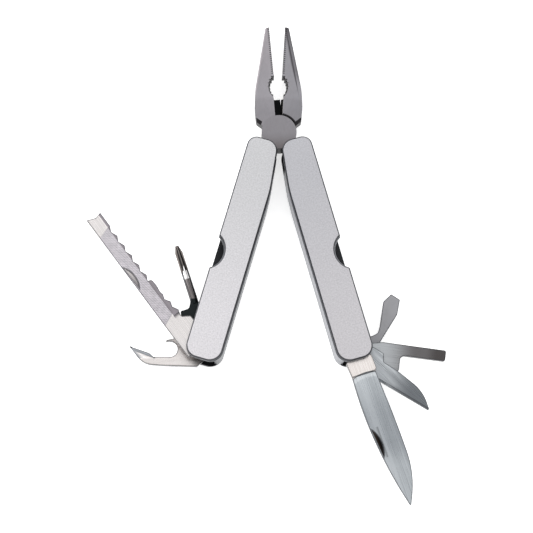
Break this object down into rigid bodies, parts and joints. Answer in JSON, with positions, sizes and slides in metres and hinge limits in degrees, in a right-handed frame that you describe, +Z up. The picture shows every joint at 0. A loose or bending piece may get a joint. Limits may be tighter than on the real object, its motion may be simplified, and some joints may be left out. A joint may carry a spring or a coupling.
{
  "type": "folding multi tool",
  "caption": "Folding multi tool: combination pliers whose channel handles fold round the jaws and hold fold-out knife, scaler, opener and screwdriver tools.",
  "frame": {"origin": "middle of the whole object's box, on the surface it lies on", "axes": "+Y towards the jaw tips, +Z up out of the front scales, +X towards the handle that holds the knife"},
  "size_m": [0.1618, 0.2222, 0.018],
  "materials": {
    "jaw_steel": "ground satin",
    "anodised_aluminium": "bead-blasted anodised",
    "channel_steel": "rolled satin",
    "spring_steel": "ground",
    "pin_steel": "turned",
    "washer_brass": "plain",
    "tool_steel": "polished with fine grinding lines",
    "blade_steel": "satin ground",
    "dark_tool_steel": "polished"
  },
  "bodies": {
    "left_jaw": {"left_jaw": "jaw_steel", "main_pivot_rivet": "jaw_steel"},
    "right_jaw": {"right_jaw": "jaw_steel"},
    "left_handle": {"left_channel": "channel_steel", "left_front_scale": "anodised_aluminium", "left_back_scale": "anodised_aluminium", "left_scale_rivets": "pin_steel", "left_tang_pin": "pin_steel", "left_tang_spacer": "pin_steel", "left_tang_washer": "washer_brass", "left_stop_pin": "pin_steel", "left_tool_pin": "pin_steel", "left_tool_washers": "washer_brass", "left_spring_rivets": "pin_steel", "left_spring_spacers": "channel_steel", "left_spring_1": "spring_steel", "left_spring_2": "spring_steel", "left_spring_3": "spring_steel"},
    "fish_scaler": {"fish_scaler": "tool_steel"},
    "phillips_driver": {"phillips_driver": "dark_tool_steel"},
    "can_opener": {"can_opener": "tool_steel"},
    "right_handle": {"right_channel": "channel_steel", "right_front_scale": "anodised_aluminium", "right_back_scale": "anodised_aluminium", "right_scale_rivets": "pin_steel", "right_tang_pin": "pin_steel", "right_tang_spacer": "pin_steel", "right_tang_washer": "washer_brass", "right_stop_pin": "pin_steel", "right_tool_pin": "pin_steel", "right_tool_washers": "washer_brass", "right_spring_rivets": "pin_steel", "right_spring_spacers": "channel_steel", "right_spring_1": "spring_steel", "right_spring_2": "spring_steel", "right_spring_3": "spring_steel", "right_spring_4": "spring_steel"},
    "main_blade": {"main_blade": "blade_steel"},
    "small_blade": {"small_blade": "blade_steel"},
    "flat_bar_driver": {"flat_bar_driver": "tool_steel"},
    "large_driver": {"large_driver": "tool_steel"}
  },
  "joints": [
    {"name": "jaw_pivot", "type": "hinge", "parent": "left_jaw", "child": "right_jaw", "pos_m": [0.00605, 0.05925, 0.009], "axis": [0, 0, -1], "range_deg": [-7.9, 30]},
    {"name": "left_handle_fold", "type": "hinge", "parent": "right_jaw", "child": "left_handle", "pos_m": [-0.00181, 0.05016, 0.009], "axis": [0, 0, 1], "range_deg": [-166.9, 0]},
    {"name": "right_handle_fold", "type": "hinge", "parent": "left_jaw", "child": "right_handle", "pos_m": [0.01418, 0.0504, 0.009], "axis": [0, 0, -1], "range_deg": [-168.8, 0]},
    {"name": "fish_scaler_fold", "type": "hinge", "parent": "left_handle", "child": "fish_scaler", "pos_m": [-0.02803, -0.04115, 0.009], "axis": [0, 0, 1], "range_deg": [-52.9, 77.1]},
    {"name": "phillips_driver_fold", "type": "hinge", "parent": "left_handle", "child": "phillips_driver", "pos_m": [-0.02803, -0.04115, 0.009], "axis": [0, 0, 1], "range_deg": [-34.1, 145.9]},
    {"name": "can_opener_fold", "type": "hinge", "parent": "left_handle", "child": "can_opener", "pos_m": [-0.02803, -0.04115, 0.009], "axis": [0, 0, 1], "range_deg": [-107.7, 42.3]},
    {"name": "main_blade_fold", "type": "hinge", "parent": "right_handle", "child": "main_blade", "pos_m": [0.04, -0.04102, 0.009], "axis": [0, 0, -1], "range_deg": [-177.5, 2.5]},
    {"name": "small_blade_fold", "type": "hinge", "parent": "right_handle", "child": "small_blade", "pos_m": [0.04, -0.04102, 0.009], "axis": [0, 0, -1], "range_deg": [-148.4, 31.6]},
    {"name": "flat_bar_driver_fold", "type": "hinge", "parent": "right_handle", "child": "flat_bar_driver", "pos_m": [0.04, -0.04102, 0.009], "axis": [0, 0, -1], "range_deg": [-113.6, 66.4]},
    {"name": "large_driver_fold", "type": "hinge", "parent": "right_handle", "child": "large_driver", "pos_m": [0.04, -0.04102, 0.009], "axis": [0, 0, -1], "range_deg": [-52.6, 127.4]}
  ]
}
